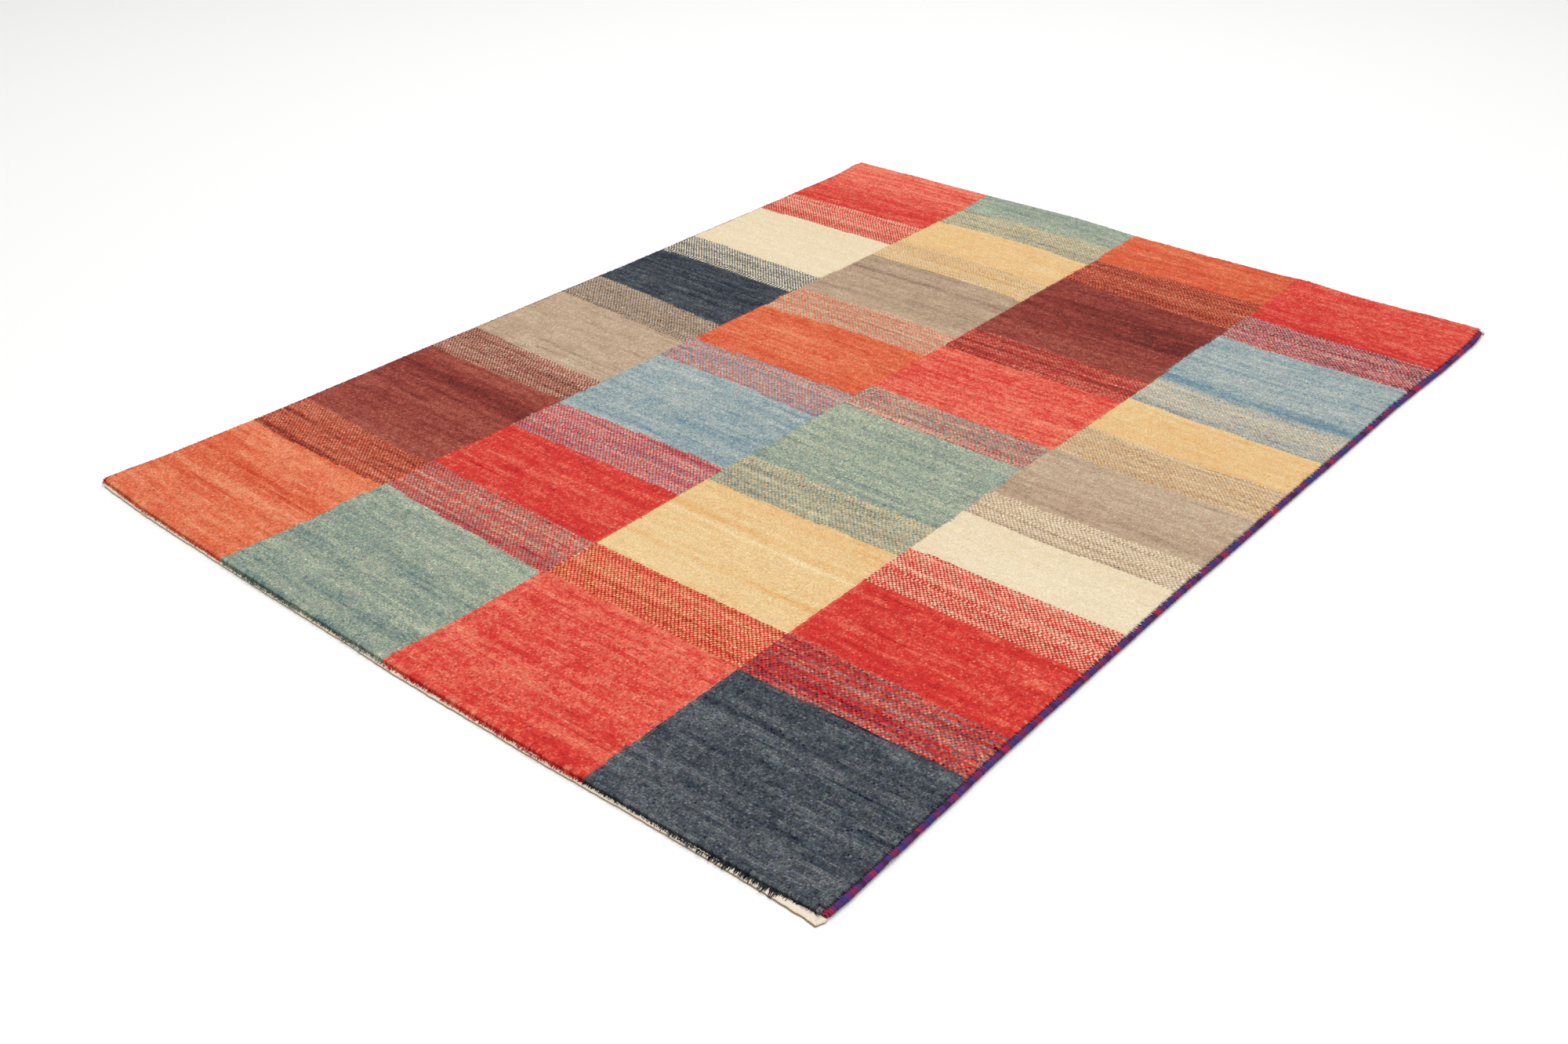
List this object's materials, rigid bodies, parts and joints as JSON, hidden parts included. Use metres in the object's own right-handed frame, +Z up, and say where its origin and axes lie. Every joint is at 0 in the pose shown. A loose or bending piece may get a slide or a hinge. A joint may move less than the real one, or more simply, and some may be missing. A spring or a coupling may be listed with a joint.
{
  "type": "lori rug",
  "caption": "Flat-laid hand-knotted wool rug with plain colour blocks, overcast long sides and narrow turned-under cotton ends.",
  "frame": {"origin": "on the floor, in the middle of the rug's box", "axes": "+X across the rug, +Y along it from the near end to the far end, +Z up out of the pile"},
  "size_m": [1.5177, 2.0294, 0.0129],
  "materials": {
    "knotted_wool": "short cut wool pile on a cotton ground, matte",
    "overcast_wool": "wool yarn wound over the edge warps, matte",
    "cotton_ground": "undyed cotton, plain woven, matte"
  },
  "bodies": {
    "root": {"rug": "knotted_wool", "selvedge_left": "overcast_wool", "selvedge_right": "overcast_wool"}
  },
  "joints": []
}
